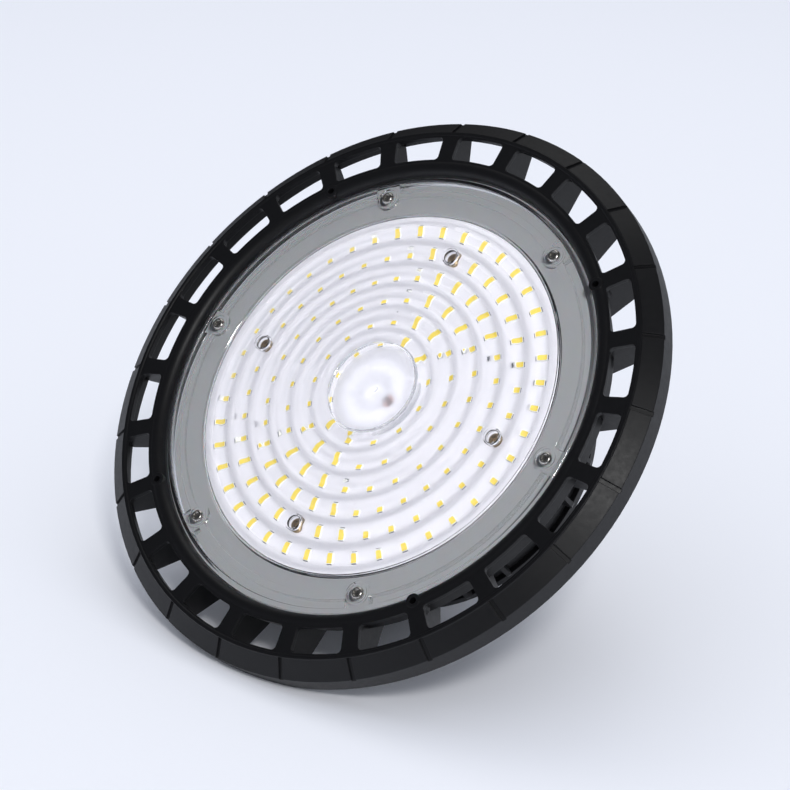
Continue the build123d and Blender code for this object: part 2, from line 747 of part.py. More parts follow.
def lead_grommet():
    """Rubber grommet in the floor round the two leads."""
    body = disc(grommet_radius - fit_clearance, pocket_z, floor_back)
    body += disc(grommet_radius + grommet_flange, floor_back, floor_back + insulator_thickness + 1.0)
    body = placed(body, lead_circle, lead_angle)
    holes = [disc(lead_radius + fit_clearance, pocket_z - 1, floor_back + 3)] * 2
    return body.cut(*[Rot(0, 0, lead_angle) * Pos(lead_circle, side * lead_spacing / 2, 0) * hole
                      for side, hole in zip((-1, 1), holes)])


def dc_leads():
    """The two straight leads from the driver board down to the LED board."""
    lead = disc(lead_radius, board_face - lead_proud, driver_board_z)
    return Compound(children=[Rot(0, 0, lead_angle) * Pos(lead_circle, side * lead_spacing / 2, 0) * lead
                              for side in (-1, 1)])


def driver_insulator():
    """Insulating sheet on the floor under the driver board."""
    body = disc(driver_board_radius, floor_back, floor_back + insulator_thickness)
    post_hole = disc(driver_post_radius + 0.5, floor_back - 1, floor_back + 2)
    lead_hole = disc(grommet_radius + grommet_flange + fit_clearance, floor_back - 1, floor_back + 2)
    return body.cut(*spread(post_hole, driver_post_circle, driver_post_angles),
                    placed(lead_hole, lead_circle, lead_angle))


def driver_posts():
    """Four posts that carry the driver board, each with a stud into the floor."""
    post = disc(driver_post_radius, floor_back, driver_board_z)
    post += disc(driver_screw_radius, floor_back - 2.0, floor_back)
    post -= disc(driver_screw_radius + thread_clearance, driver_board_z - driver_screw_length, driver_board_z + 1)
    return Compound(children=spread(post, driver_post_circle, driver_post_angles))


def driver_board():
    """Round driver circuit board."""
    hole = disc(driver_screw_radius + screw_hole_clearance, driver_board_z - 1, driver_top + 1)
    return disc(driver_board_radius, driver_board_z, driver_top).cut(
        *spread(hole, driver_post_circle, driver_post_angles)
    )


def on_board(shape, place, height):
    """A component stood on the driver board, at shares of the board's radius."""
    x, y = place
    return Pos(x * driver_board_radius, y * driver_board_radius, driver_top + height / 2) * shape


def driver_transformer():
    """Ferrite transformer: core frame round a wound bobbin."""
    wound_width = transformer_width - 2 * transformer_flange
    wound_height = transformer_height - 2 * transformer_yoke
    window = Box(wound_width, transformer_depth + 2, wound_height)
    core = Box(transformer_width, transformer_depth * 0.55, transformer_height) - window
    bobbin = Box(wound_width, transformer_depth, wound_height)
    return on_board(core + bobbin, transformer_place, transformer_height)


def driver_choke():
    """Wound ring choke, lying flat."""
    low, high = -choke_height / 2, choke_height / 2
    section = turned_polygon(
        at(choke_hole_radius, 0), at(choke_hole_radius + choke_edge, low), at(choke_radius - choke_edge, low),
        at(choke_radius, 0), at(choke_radius - choke_edge, high), at(choke_hole_radius + choke_edge, high),
    )
    return on_board(section, choke_place, choke_height)


def capacitor(radius, height, place):
    """An electrolytic capacitor standing on the board."""
    return on_board(chamfer(Cylinder(radius, height).edges().sort_by(Axis.Z)[-1], capacitor_edge), place, height)


def driver_capacitors():
    """Two large capacitors and a small one."""
    large = [capacitor(capacitor_radius, capacitor_height, place) for place in capacitor_places]
    small = capacitor(small_capacitor_radius, small_capacitor_height, small_capacitor_place)
    return Compound(children=[*large, small])


def driver_transistors():
    """Two power transistors on their heat spreading bar."""
    bar = Box(spreader_thickness, spreader_length, spreader_height)
    out = (spreader_thickness + transistor_thickness) / 2
    rise = (transistor_height - spreader_height) / 2 + transistor_rise
    case = Box(transistor_thickness, transistor_width, transistor_height)
    cases = [Pos(out, side * transistor_spacing / 2, rise) * case for side in (-1, 1)]
    return on_board(bar.fuse(*cases), spreader_place, spreader_height)


def driver_terminal_block():
    """Three pole terminal block for the supply."""
    body = Box(terminal_width, terminal_length, terminal_height)
    for side in (-1, 0, 1):
        slot = Box(terminal_width * 0.6, pole_slot_width, pole_slot_height)
        body -= Pos(-terminal_width * 0.4, side * pole_spacing, -terminal_height / 6) * slot
        body -= Pos(0, side * pole_spacing, terminal_height / 2) * Cylinder(pole_screw_radius, terminal_height / 2)
    return on_board(body, terminal_place, terminal_height)


blank = casting_blank()
pieces = {
    "heat_sink": heat_sink(blank),
    "cooling_fins": cooling_fins(blank),
    "lens": lens(),
    "lens_gasket": lens_gasket(),
    "lens_screws": Compound(children=spread(
        socket_screw(screw_radius, screw_length, screw_head_radius, screw_head_height, screw_socket,
                     screw_seat_z, False), screw_circle, lens_screw_angles)),
    "led_board": led_board(),
    "thermal_pad": thermal_pad(),
    "board_screws": Compound(children=spread(
        pan_screw(board_screw_radius, board_screw_length, board_screw_head_radius, board_screw_head_height,
                  board_face, 1), outer_ring_radius - ring_pitch, post_angles)),
    "lead_grommet": lead_grommet(),
    "dc_leads": dc_leads(),
    "driver_insulator": driver_insulator(),
    "driver_posts": driver_posts(),
    "driver_board": driver_board(),
    "driver_screws": Compound(children=spread(
        pan_screw(driver_screw_radius, driver_screw_length - 0.5, driver_screw_head_radius,
                  driver_screw_head_height, driver_top, -1), driver_post_circle, driver_post_angles)),
    "driver_transformer": driver_transformer(),
    "driver_choke": driver_choke(),
    "driver_capacitors": driver_capacitors(),
    "driver_transistors": driver_transistors(),
    "driver_terminal_block": driver_terminal_block(),
    "rear_cover": rear_cover(),
    "cover_gasket": cover_gasket(),
    "cover_screws": Compound(children=spread(
        socket_screw(cover_screw_radius, cover_screw_length, cover_screw_head_radius, cover_screw_head_height,
                     cover_screw_socket, cover_edge_z - cover_pocket_depth, True),
        cover_circle, cover_screw_angles)),
    "hanging_eye": hanging_eye(),
    "eye_nut": eye_nut(),
    "gland_body": gland_body(),
    "gland_seal": gland_seal(),
    "gland_nut": gland_nut(),
    "gland_lock_nut": gland_lock_nut(),
    "breather_seal": breather_seal(),
    "breather_plug": breather_plug(),
}
for k in range(len(led_counts)):
    pieces[f"leds_ring_{k + 1}"] = leds(k)

os.makedirs("parts", exist_ok=True)
for node, shape in pieces.items():
    export_step(shape, f"parts/{node}.step")
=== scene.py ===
"""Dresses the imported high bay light: fine lens, LED packages, screws, finishes, and the photographic set."""

import cmath
from math import ceil, cos, degrees, hypot, pi, radians, sin

import bmesh
import bpy
from bpy.props import FloatProperty, FloatVectorProperty, IntProperty, PointerProperty
from mathutils import Matrix, Vector


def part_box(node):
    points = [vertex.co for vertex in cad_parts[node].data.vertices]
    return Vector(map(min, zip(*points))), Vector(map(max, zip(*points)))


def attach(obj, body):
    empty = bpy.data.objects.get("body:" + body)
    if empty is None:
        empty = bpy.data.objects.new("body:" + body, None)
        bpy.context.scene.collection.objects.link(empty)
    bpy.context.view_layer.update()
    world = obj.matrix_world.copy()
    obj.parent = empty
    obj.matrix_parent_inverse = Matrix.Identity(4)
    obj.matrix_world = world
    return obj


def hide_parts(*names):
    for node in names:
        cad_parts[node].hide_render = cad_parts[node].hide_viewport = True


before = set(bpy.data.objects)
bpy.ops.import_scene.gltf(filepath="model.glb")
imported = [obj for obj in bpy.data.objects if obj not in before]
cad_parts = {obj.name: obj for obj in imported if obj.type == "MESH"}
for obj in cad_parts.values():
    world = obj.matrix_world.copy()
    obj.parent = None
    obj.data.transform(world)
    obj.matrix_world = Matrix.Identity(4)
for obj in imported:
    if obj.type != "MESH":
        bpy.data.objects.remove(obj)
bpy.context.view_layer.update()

bl_info = {
    "name": "High bay light",
    "version": (1, 0, 0),
    "blender": (4, 5, 0),
    "location": "View3D > Sidebar > High Bay",
    "description": "Builds the lens, LEDs, screws and finishes of a high bay light on its packed model",
    "category": "Object",
}

MM = 0.001
BODY = "root"

# The LED packages are of the common 2835 size, with their length along the radius.
LED_LENGTH = 3.5 * MM
LED_WIDTH = 2.8 * MM

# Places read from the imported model, in metres.
FIRST_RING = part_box("leds_ring_6")[1].x - LED_LENGTH / 2
SECOND_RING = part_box("leds_ring_2")[1].x - LED_LENGTH / 2
RING_PITCH = (SECOND_RING - FIRST_RING) / 4
OUTER_RING = FIRST_RING + 5 * RING_PITCH
BOARD_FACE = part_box("led_board")[0].z
LED_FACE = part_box("leds_ring_1")[0].z
LENS_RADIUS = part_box("lens")[1].x
LENS_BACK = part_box("lens")[1].z
LENS_SCREW_CIRCLE = LENS_RADIUS - 8.15 * MM
SCREW_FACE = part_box("lens_screws")[0].z
SCREW_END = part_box("lens_screws")[1].z
COVER_SCREW_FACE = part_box("cover_screws")[1].z
COVER_SCREW_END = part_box("cover_screws")[0].z
EYE_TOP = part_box("hanging_eye")[1].z
RIM_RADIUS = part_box("heat_sink")[1].x
CAST_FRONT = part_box("heat_sink")[0].z

# Where the light rests on the table: the back of its rim, and the outermost point of its eye.
RIM_BACK = CAST_FRONT + 11.5 * MM
EYE_REACH = 19.0 * MM

# LED rings from the outside in: places in the ring, and the angle of the first in degrees.
LED_RINGS = ((42, 7.69), (36, 0.0), (32, 5.6), (24, 0.0), (18, 0.0), (12, 0.0))
CAP_ANGLES = (30, 120, 210, 300)
LENS_SCREW_ANGLES = tuple(30 + 60 * k for k in range(6))
COVER_SCREW_ANGLES = tuple(30 + 60 * k for k in range(6))


def linear(code):
    """A colour's sRGB hex value as linear red, green, blue and alpha."""
    parts = [int(code[i:i + 2], 16) / 255 for i in (1, 3, 5)]
    return tuple(c / 12.92 if c <= 0.04045 else ((c + 0.055) / 1.055) ** 2.4 for c in parts) + (1.0,)


def length(name, description, default):
    """A size that a user may change."""
    return FloatProperty(name=name, description=description, default=default, unit="LENGTH", precision=5, min=0.0)


def colour(name, description, code):
    """A colour that a user may change."""
    return FloatVectorProperty(
        name=name, description=description, default=linear(code), size=4, subtype="COLOR", min=0.0, max=1.0
    )


class LensSizes(bpy.types.PropertyGroup):
    """Sizes of the moulded lens."""
    flange_thickness: length("Flange thickness", "Depth of the flange that the screws hold", 4.4 * MM)
    rim_bead: length("Rim bead", "Width of the flange's outer bead", 2.6 * MM)
    channel_width: length("Channel width", "Width of the channel in the flange", 3.8 * MM)
    channel_depth: length("Channel depth", "Depth of the channel in the flange", 3.2 * MM)
    land_width: length("Land width", "Width of the flat inside the channel", 3.2 * MM)
    land_step: length("Land step", "Step down from the flat towards the beads", 1.0 * MM)
    trough_depth: length("Trough depth", "Depth of the trough between the step and the beads", 1.1 * MM)
    corner: length("Corner", "Size of the flange's rounded corners", 0.5 * MM)
    foot: length("Foot", "Radius where the beaded front meets the flange", OUTER_RING + 6.7 * MM)
    led_gap: length("LED gap", "Gap between the outer LEDs and the lens", 0.9 * MM)
    crown: length("Crown", "How far the lens bulges from the outer LED ring to the centre", 2.6 * MM)
    bead_height: length("Bead height", "Rise of the ring beads", 1.4 * MM)
    bead_sharpness: FloatProperty(name="Bead sharpness", description="1 for plain waves, more for narrow crests",
                                  default=1.3, min=1.0)
    bead_steps: IntProperty(name="Bead steps", description="Steps across each bead", default=20, min=6)
    valley_thickness: length("Valley thickness", "Wall between two beads", 1.5 * MM)
    disc_radius: length("Disc radius", "Radius of the etched centre disc", FIRST_RING - 0.22 * RING_PITCH)
    disc_gap: length("Disc gap", "Gap between the plane of the LEDs and the centre disc", 1.1 * MM)
    disc_thickness: length("Disc thickness", "Wall of the centre disc", 1.2 * MM)
    gate_radius: length("Gate radius", "Radius of the stub where the plastic was let in", 1.3 * MM)
    gate_rise: length("Gate rise", "How far that stub stands in front of the disc", 0.4 * MM)
    cap_radius: length("Cap radius", "Radius of the caps over the board screws", 3.8 * MM)
    cap_hollow: length("Cap hollow", "Radius of the hollow over each board screw", 3.1 * MM)
    cap_wall: length("Cap wall", "Thickness of a cap over its hollow", 1.4 * MM)
    pad_radius: length("Pad radius", "Radius of the pad round each screw", 5.6 * MM)
    counterbore: length("Counterbore", "Radius of the recess for a screw head", 4.3 * MM)
    screw_hole: length("Screw hole", "Radius of the hole for a screw", 1.7 * MM)
    turns: IntProperty(name="Steps round", description="Steps round the lens", default=256, min=48)


class LedSizes(bpy.types.PropertyGroup):
    """Sizes of one LED package."""
    window_margin: length("Window margin", "Width of the white frame round the phosphor", 0.16 * MM)
    window_corner: length("Window corner", "Corner radius of the phosphor window", 0.45 * MM)
    window_depth: length("Window depth", "How far the phosphor lies under the frame", 0.06 * MM)
    window_slope: length("Window slope", "How far the frame slopes in to the phosphor", 0.05 * MM)
    edge: length("Body edge", "Bevel of the white body", 0.1 * MM)
    terminal_length: length("Terminal", "How far the soldered terminals stand out", 0.28 * MM)
    terminal_height: length("Terminal height", "Height of the solder at the terminals", 0.32 * MM)


class ScrewSizes(bpy.types.PropertyGroup):
    """Sizes of the button head screws."""
    lens_head: length("Lens screw head", "Radius of the M3 heads", 2.85 * MM)
    lens_height: length("Lens head height", "Height of the M3 heads", 1.65 * MM)
    lens_shank: length("Lens shank", "Radius of the M3 thread", 1.5 * MM)
    lens_socket: length("Lens socket", "Width across flats of the M3 socket", 2.4 * MM)
    cover_head: length("Cover screw head", "Radius of the M4 heads", 3.8 * MM)
    cover_height: length("Cover head height", "Height of the M4 heads", 2.2 * MM)
    cover_shank: length("Cover shank", "Radius of the M4 thread", 2.0 * MM)
    cover_socket: length("Cover socket", "Width across flats of the M4 socket", 2.5 * MM)


class Finishes(bpy.types.PropertyGroup):
    """Colours of the finishes."""
    coat: colour("Powder coat", "Black coat of the castings", "#0f0f11")
    lens: colour("Lens", "Tint of the clear lens", "#f8f8fa")
    board: colour("Board", "White solder mask", "#f2f0f3")
    phosphor: colour("Phosphor", "Yellow phosphor of the LEDs", "#ffe25c")
    package: colour("Package", "White body of the LEDs", "#f4f4ef")
    steel: colour("Stainless steel", "Screws", "#c4c1bc")
    zinc: colour("Zinc plate", "Eye bolt and nut", "#c9ccd0")
    silicone: colour("Silicone", "Lens gasket", "#e4e6e8")
    nylon: colour("Nylon", "Gland and breather plug", "#1b1b1d")


class SetSizes(bpy.types.PropertyGroup):
    """Places of the photographic set."""
    camera: FloatVectorProperty(name="Camera", description="Place of the camera from the casting's front", size=3,
                                subtype="TRANSLATION", default=(0.4607, 0.4842, -0.7997), unit="LENGTH")
    aim: FloatVectorProperty(name="Aim", description="Point in the middle of the picture, from the casting's front",
                             size=3, subtype="TRANSLATION", default=(0.0166, 0.0117, -0.0072), unit="LENGTH")
    roll: FloatProperty(name="Roll", description="Roll of the camera against the table", default=radians(1.93),
                        subtype="ANGLE")
    focal: FloatProperty(name="Focal length", description="Lens of the camera in mm", default=113.9, min=1.0)
    contact: FloatProperty(name="Contact", description="Angle of the rim's point that rests on the table",
                           default=radians(118.0), subtype="ANGLE")
    table: colour("Table", "Pale table and floor", "#f4f4f7")
    studio_glow: FloatProperty(name="Studio glow", description="Brightness of the walls in reflections",
                               default=0.1, min=0.0)
    studio_dark: FloatProperty(name="Studio dark", description="Brightness of the ceiling in reflections",
                               default=0.04, min=0.0)
    ambient: FloatProperty(name="Ambient", description="Strength of the soft fill light", default=0.81, min=0.0)


def arc(start, middle, end, steps):
    """Points on the circle through three points of a profile, the last one left out."""
    a, b, c = complex(*start), complex(*middle), complex(*end)
    w = (c - a) / (b - a)
    centre = (b - a) * (w - abs(w) ** 2) / (2j * w.imag) + a
    radius = abs(a - centre)
    first, last = cmath.phase(a - centre), cmath.phase(c - centre)
    through = cmath.phase(b - centre)
    sweep = (last - first) % (2 * pi)
    if (through - first) % (2 * pi) > sweep:
        sweep -= 2 * pi
    points = [centre + cmath.rect(radius, first + sweep * k / steps) for k in range(steps)]
    return [(p.real, p.imag) for p in points]


def revolve(name, profile, turns):
    """A closed mesh turned round the axis from profile points; a point on the axis becomes one vertex."""
    build = bmesh.new()
    rings = []
    for r, z in profile:
        if r < 1e-7:
            rings.append([build.verts.new((0, 0, z))])
        else:
            rings.append([build.verts.new((r * cos(2 * pi * k / turns), r * sin(2 * pi * k / turns), z))
                          for k in range(turns)])
    for low, high in zip(rings, rings[1:] + rings[:1]):
        for k in range(turns):
            after = (k + 1) % turns
            corners = [low[k % len(low)], low[after % len(low)], high[after % len(high)], high[k % len(high)]]
            corners = list(dict.fromkeys(corners))
            if len(corners) > 2:
                build.faces.new(corners)
    bmesh.ops.recalc_face_normals(build, faces=build.faces)
    return as_object(name, build)


def as_object(name, build):
    """Makes a bmesh into a linked object."""
    mesh = bpy.data.meshes.new(name)
    build.to_mesh(mesh)
    build.free()
    made = bpy.data.objects.new(name, mesh)
    bpy.context.scene.collection.objects.link(made)
    return made


def round_copies(name, single, places):
    """One mesh that repeats a bmesh at each (radius, angle in degrees)."""
    piece = bpy.data.meshes.new(name + "_single")
    single.to_mesh(piece)
    single.free()
    build = bmesh.new()
    for radius, angle in places:
        start = len(build.verts)
        build.from_mesh(piece)
        build.verts.ensure_lookup_table()
        moved = build.verts[start:]
        turn = Matrix.Rotation(radians(angle), 4, "Z") @ Matrix.Translation((radius, 0, 0))
        bmesh.ops.transform(build, matrix=turn, verts=moved)
    bpy.data.meshes.remove(piece)
    return as_object(name, build)


def drum(name, radius, low, high, places, edge=0.0, steps=48):
    """Cylinders with bevelled ends at each (radius, angle), in one object, as boolean tools."""
    build = bmesh.new()
    profile = [(0, low), (radius - edge, low), (radius, low + edge), (radius, high - edge), (radius - edge, high),
               (0, high)]
    rings = []
    for r, z in profile:
        count = 1 if r == 0 else steps
        rings.append([build.verts.new((r * cos(2 * pi * k / steps), r * sin(2 * pi * k / steps), z))
                      for k in range(count)])
    for below, above in zip(rings, rings[1:]):
        for k in range(steps):
            after = (k + 1) % steps
            corners = [below[k % len(below)], below[after % len(below)],
                       above[after % len(above)], above[k % len(above)]]
            build.faces.new(list(dict.fromkeys(corners)))
    bmesh.ops.remove_doubles(build, verts=build.verts, dist=1e-7)
    bmesh.ops.recalc_face_normals(build, faces=build.faces)
    return round_copies(name, build, places)


def carve(target, tool, operation):
    """Joins a tool to the target, or cuts it away, and removes the tool."""
    step = target.modifiers.new("carve", "BOOLEAN")
    step.operation = operation
    step.solver = "EXACT"
    step.object = tool
    result = bpy.data.meshes.new_from_object(target.evaluated_get(bpy.context.evaluated_depsgraph_get()))
    target.modifiers.remove(step)
    old, target.data = target.data, result
    bpy.data.meshes.remove(old)
    bpy.data.objects.remove(tool)


def smooth(piece, angle=30.0):
    """Smooth shading with crisp edges where faces meet at more than an angle."""
    piece.data.shade_smooth()
    piece.data.set_sharp_from_angle(angle=radians(angle))


def placed(piece, slot_name, *nodes):
    """A piece rides on the body and stands for nodes, which it hides; its slot name is not used."""
    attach(piece, BODY)
    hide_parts(*nodes)


def wear(piece, *finishes):
    """Gives a piece its materials, in the order of its faces' material numbers."""
    slots = piece.data.materials
    for k, made in enumerate(finishes):
        if k < len(slots):
            slots[k] = made
        else:
            slots.append(made)


def add(tree, kind, inputs=None, **settings):
    """Adds a node with its settings, and gives each named input a value or a link."""
    made = tree.nodes.new(kind)
    for name, value in settings.items():
        setattr(made, name, value)
    for name, value in (inputs or {}).items():
        if isinstance(value, bpy.types.NodeSocket):
            tree.links.new(value, made.inputs[name])
        else:
            made.inputs[name].default_value = value
    return made


def grain(size_mm):
    """The scale of a pattern in object coordinates whose features are this many millimetres wide."""
    return 1.0 / (size_mm * MM)


def finish(name, surface):
    """A material whose Principled shader has these inputs; returns it with its tree, shader and coordinates."""
    made = bpy.data.materials.new(name)
    made.use_nodes = True
    tree = made.node_tree
    tree.nodes.clear()
    shader = add(tree, "ShaderNodeBsdfPrincipled", surface)
    add(tree, "ShaderNodeOutputMaterial", {"Surface": shader.outputs["BSDF"]})
    place = add(tree, "ShaderNodeTexCoord")
    return made, tree, shader, place.outputs["Object"]


def roughen(tree, shader, place, size_mm, low, high, detail=2.0):
    """Varies the roughness between two values over patches of a size."""
    noise = add(tree, "ShaderNodeTexNoise", {"Vector": place, "Scale": grain(size_mm), "Detail": detail})
    spread = add(tree, "ShaderNodeMapRange", {"Value": noise.outputs["Fac"], "From Min": 0.3, "From Max": 0.7,
                                              "To Min": low, "To Max": high})
    tree.links.new(spread.outputs["Result"], shader.inputs["Roughness"])


def relief(tree, shader, place, size_mm, height_mm, strength=1.0, detail=2.0):
    """Raises the surface in grains of a size and height."""
    noise = add(tree, "ShaderNodeTexNoise", {"Vector": place, "Scale": grain(size_mm), "Detail": detail})
    bump = add(tree, "ShaderNodeBump", {"Height": noise.outputs["Fac"], "Distance": height_mm * MM,
                                        "Strength": strength})
    tree.links.new(bump.outputs["Normal"], shader.inputs["Normal"])
    return bump


def mottle(tree, shader, place, size_mm, first, second):
    """Mixes two close colours over patches of a size."""
    noise = add(tree, "ShaderNodeTexNoise", {"Vector": place, "Scale": grain(size_mm), "Detail": 3.0})
    mix = add(tree, "ShaderNodeMix", {"Factor": noise.outputs["Fac"]}, data_type="RGBA")
    mix.inputs["A"].default_value = first
    mix.inputs["B"].default_value = second
    tree.links.new(mix.outputs["Result"], shader.inputs["Base Color"])


def shade_of(tint, factor):
    """A colour made darker or lighter by a factor."""
    return tuple(min(1.0, c * factor) for c in tuple(tint)[:3]) + (1.0,)


def powder_coat(tint):
    """Die-cast aluminium sprayed with fine-textured powder and baked: satin, slightly sandy, soft grey sheen."""
    made, tree, shader, place = finish("black_powder_coat", {"IOR": 1.5, "Specular IOR Level": 0.3})
    mottle(tree, shader, place, 3.0, shade_of(tint, 0.85), shade_of(tint, 1.2))
    roughen(tree, shader, place, 2.0, 0.4, 0.46)
    # Edges are rounded by the coat's thickness, and catch the light.
    edge = add(tree, "ShaderNodeBevel", {"Radius": 0.5 * MM}, samples=4)
    # The coat's grains are about 0.3 mm; drawn at 0.5 mm so that they show in the render.
    grains = relief(tree, shader, place, 0.5, 0.05, 0.5, 3.0)
    tree.links.new(edge.outputs["Normal"], grains.inputs["Normal"])
    return made


def moulded_polycarbonate(name, tint, roughness):
    """Injection-moulded clear polycarbonate: bright refraction, light passes on to the board."""
    made, tree, shader, place = finish(name, {
        "Base Color": tuple(tint), "Roughness": roughness, "IOR": 1.58, "Transmission Weight": 1.0,
    })
    # Very shallow flow waves of the moulding, a few millimetres wide.
    relief(tree, shader, place, 6.0, 0.02, 0.3, 1.0)
    # The beads gather the light that falls in under their crests and thin it under the valleys.
    path = add(tree, "ShaderNodeLightPath")
    across = add(tree, "ShaderNodeVectorMath", {0: place, 1: (1.0, 1.0, 0.0)}, operation="MULTIPLY")
    radius = add(tree, "ShaderNodeVectorMath", {0: across.outputs["Vector"]}, operation="LENGTH")
    phase = add(tree, "ShaderNodeMath", {0: radius.outputs["Value"], 1: 2 * pi / RING_PITCH,
                                         2: -2 * pi * OUTER_RING / RING_PITCH}, operation="MULTIPLY_ADD")
    wave = add(tree, "ShaderNodeMath", {0: phase.outputs["Value"]}, operation="COSINE")
    passed = add(tree, "ShaderNodeMapRange", {"Value": wave.outputs["Value"], "From Min": -1.0, "From Max": 0.6,
                                              "To Min": 0.5, "To Max": 1.0})
    flange = add(tree, "ShaderNodeMath", {0: radius.outputs["Value"], 1: OUTER_RING + RING_PITCH / 2},
                 operation="GREATER_THAN")
    clearest = add(tree, "ShaderNodeMath", {0: passed.outputs["Result"], 1: flange.outputs["Value"]},
                   operation="MAXIMUM")
    clear = add(tree, "ShaderNodeBsdfTransparent", {"Color": clearest.outputs["Value"]})
    mix = add(tree, "ShaderNodeMixShader", {0: path.outputs["Is Shadow Ray"], 1: shader.outputs["BSDF"],
                                            2: clear.outputs["BSDF"]})
    output = next(n for n in tree.nodes if n.type == "OUTPUT_MATERIAL")
    tree.links.new(mix.outputs["Shader"], output.inputs["Surface"])
    return made


def solder_mask(tint):
    """White solder mask printed on an aluminium circuit board: smooth, slightly glossy, faint mottling."""
    made, tree, shader, place = finish("white_solder_mask", {"IOR": 1.5})
    mottle(tree, shader, place, 5.0, shade_of(tint, 0.97), shade_of(tint, 1.0))
    roughen(tree, shader, place, 2.0, 0.32, 0.42)
    relief(tree, shader, place, 0.8, 0.01, 0.4)
    return made


def phosphor_silicone(tint):
    """Silicone filled with yellow phosphor in the LED's window: soft, slightly grainy, gently glossy."""
    made, tree, shader, place = finish("phosphor_silicone", {"IOR": 1.41})
    mottle(tree, shader, place, 0.3, shade_of(tint, 0.95), shade_of(tint, 1.0))
    roughen(tree, shader, place, 0.5, 0.3, 0.45)
    return made


def moulded_epoxy(tint):
    """Transfer-moulded white epoxy of the LED body: clean white, semi-matt."""
    made, tree, shader, place = finish("moulded_white_epoxy", {"IOR": 1.5})
    mottle(tree, shader, place, 0.6, shade_of(tint, 0.97), shade_of(tint, 1.0))
    roughen(tree, shader, place, 0.4, 0.35, 0.5)
    return made


def tinned_solder():
    """Reflowed solder on the LED's tinned terminals: bright grey metal with soft ripples."""
    made, tree, shader, place = finish("reflowed_solder", {"Base Color": linear("#8f9092"), "Metallic": 1.0})
    roughen(tree, shader, place, 0.3, 0.18, 0.35)
    relief(tree, shader, place, 0.3, 0.02, 0.5)
    return made


def turned_stainless(tint):
    """Cold-headed stainless steel screws: bright grey with fine turning marks."""
    made, tree, shader, place = finish("cold_headed_stainless_steel", {"Base Color": tuple(tint), "Metallic": 1.0})
    roughen(tree, shader, place, 0.5, 0.2, 0.34)
    relief(tree, shader, place, 0.25, 0.01, 0.4)
    return made


def zinc_plate(tint):
    """Forged steel with bright zinc plate: cool grey, soft hammer waves from the forging."""
    made, tree, shader, place = finish("bright_zinc_plate", {"Metallic": 1.0})
    mottle(tree, shader, place, 4.0, shade_of(tint, 0.9), shade_of(tint, 1.0))
    roughen(tree, shader, place, 1.5, 0.24, 0.4)
    relief(tree, shader, place, 5.0, 0.12, 0.5)
    return made


def cast_silicone(tint):
    """Moulded silicone rubber of the gasket: milky, matt."""
    made, tree, shader, place = finish("moulded_silicone_rubber", {"IOR": 1.41, "Subsurface Weight": 0.2,
                                                                   "Subsurface Scale": 1.0 * MM})
    mottle(tree, shader, place, 4.0, shade_of(tint, 0.96), shade_of(tint, 1.0))
    roughen(tree, shader, place, 1.0, 0.5, 0.65)
    return made


def moulded_plastic(name, code, size_mm=1.2, low=0.4, high=0.55):
    """Injection-moulded plastic with a light spark texture."""
    made, tree, shader, place = finish(name, {"IOR": 1.5})
    tint = linear(code) if isinstance(code, str) else tuple(code)
    mottle(tree, shader, place, 3.0, shade_of(tint, 0.92), shade_of(tint, 1.05))
    roughen(tree, shader, place, size_mm, low, high)
    relief(tree, shader, place, size_mm / 2, 0.02, 0.4)
    return made


def drawn_metal(name, code, low=0.25, high=0.4):
    """Plain metal with light drawing marks."""
    made, tree, shader, place = finish(name, {"Base Color": linear(code), "Metallic": 1.0})
    roughen(tree, shader, place, 1.0, low, high)
    relief(tree, shader, place, 0.5, 0.01, 0.4)
    return made


def one_sided_paper(name, tint):
    """Pale seamless paper that is seen only from its upper side."""
    made, tree, shader, _ = finish(name, {"Base Color": tuple(tint), "Roughness": 0.9, "Specular IOR Level": 0.1})
    side = add(tree, "ShaderNodeNewGeometry")
    clear = add(tree, "ShaderNodeBsdfTransparent")
    mix = add(tree, "ShaderNodeMixShader", {0: side.outputs["Backfacing"], 1: shader.outputs["BSDF"],
                                            2: clear.outputs["BSDF"]})
    output = next(n for n in tree.nodes if n.type == "OUTPUT_MATERIAL")
    tree.links.new(mix.outputs["Shader"], output.inputs["Surface"])
    return made


def crown_height(size, r):
    """How far the crowned lens stands in front of its outer ring at a radius."""
    return size.crown * (1 - (r / OUTER_RING) ** 2)


def lens_back(size, r):
    """Height of the beads' smooth back at a radius."""
    return LED_FACE - size.led_gap - crown_height(size, r)


def bead_front(size, r):
    """Height of the beaded front at a radius."""
    crest = (1 + cos(2 * pi * (r - OUTER_RING) / RING_PITCH)) / 2
    return lens_back(size, r) - size.valley_thickness - size.bead_height * crest ** size.bead_sharpness


def bead_row(size, outer_end, inner_end):
    """Points on the beaded front from the outer edge inwards."""
    count = ceil((outer_end - inner_end) / RING_PITCH * size.bead_steps)
    radii = [outer_end + (inner_end - outer_end) * k / count for k in range(count + 1)]
    return [(r, bead_front(size, r)) for r in radii]


